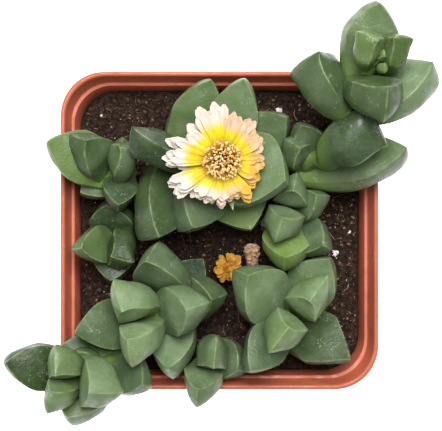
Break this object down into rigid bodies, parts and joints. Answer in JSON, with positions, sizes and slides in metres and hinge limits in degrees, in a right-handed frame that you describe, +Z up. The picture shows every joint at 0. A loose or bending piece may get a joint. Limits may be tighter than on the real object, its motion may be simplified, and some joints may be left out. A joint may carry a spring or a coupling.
{
  "type": "potted corpuscularia",
  "caption": "Square tapered plastic nursery pot of peat with a clump of thick three-sided succulent leaves in opposite pairs, two stems hanging over the rim, and an open many-petalled flower.",
  "frame": {"origin": "the middle of the pot's flat base, where it meets what it stands on", "axes": "+Z up, +X to the right and +Y away in the picture, which looks straight down"},
  "size_m": [0.138, 0.1342, 0.124],
  "materials": {
    "pot": "terracotta-coloured plastic with a dull sheen",
    "peat": "loose dark peat with pale specks",
    "leaf": "firm satin leaf skin, grey-green with lighter ridges",
    "petal": "thin silky petal, yellow at the root and white at the tip",
    "stamen": "cream and tan, matt",
    "withered": "shrivelled, orange-brown, matt",
    "straw": "dry, pale brown, matt"
  },
  "bodies": {
    "root": {"pot": "pot", "soil": "peat", "stem_north_east": "leaf", "stem_flower": "leaf", "stem_west": "leaf", "stem_west_low": "leaf", "stem_centre": "leaf", "stem_south_west": "leaf", "stem_south": "leaf", "stem_south_east": "leaf", "stem_east": "leaf", "petals": "petal", "stamens": "stamen", "old_bloom": "withered", "dry_stalk": "straw"}
  },
  "joints": []
}
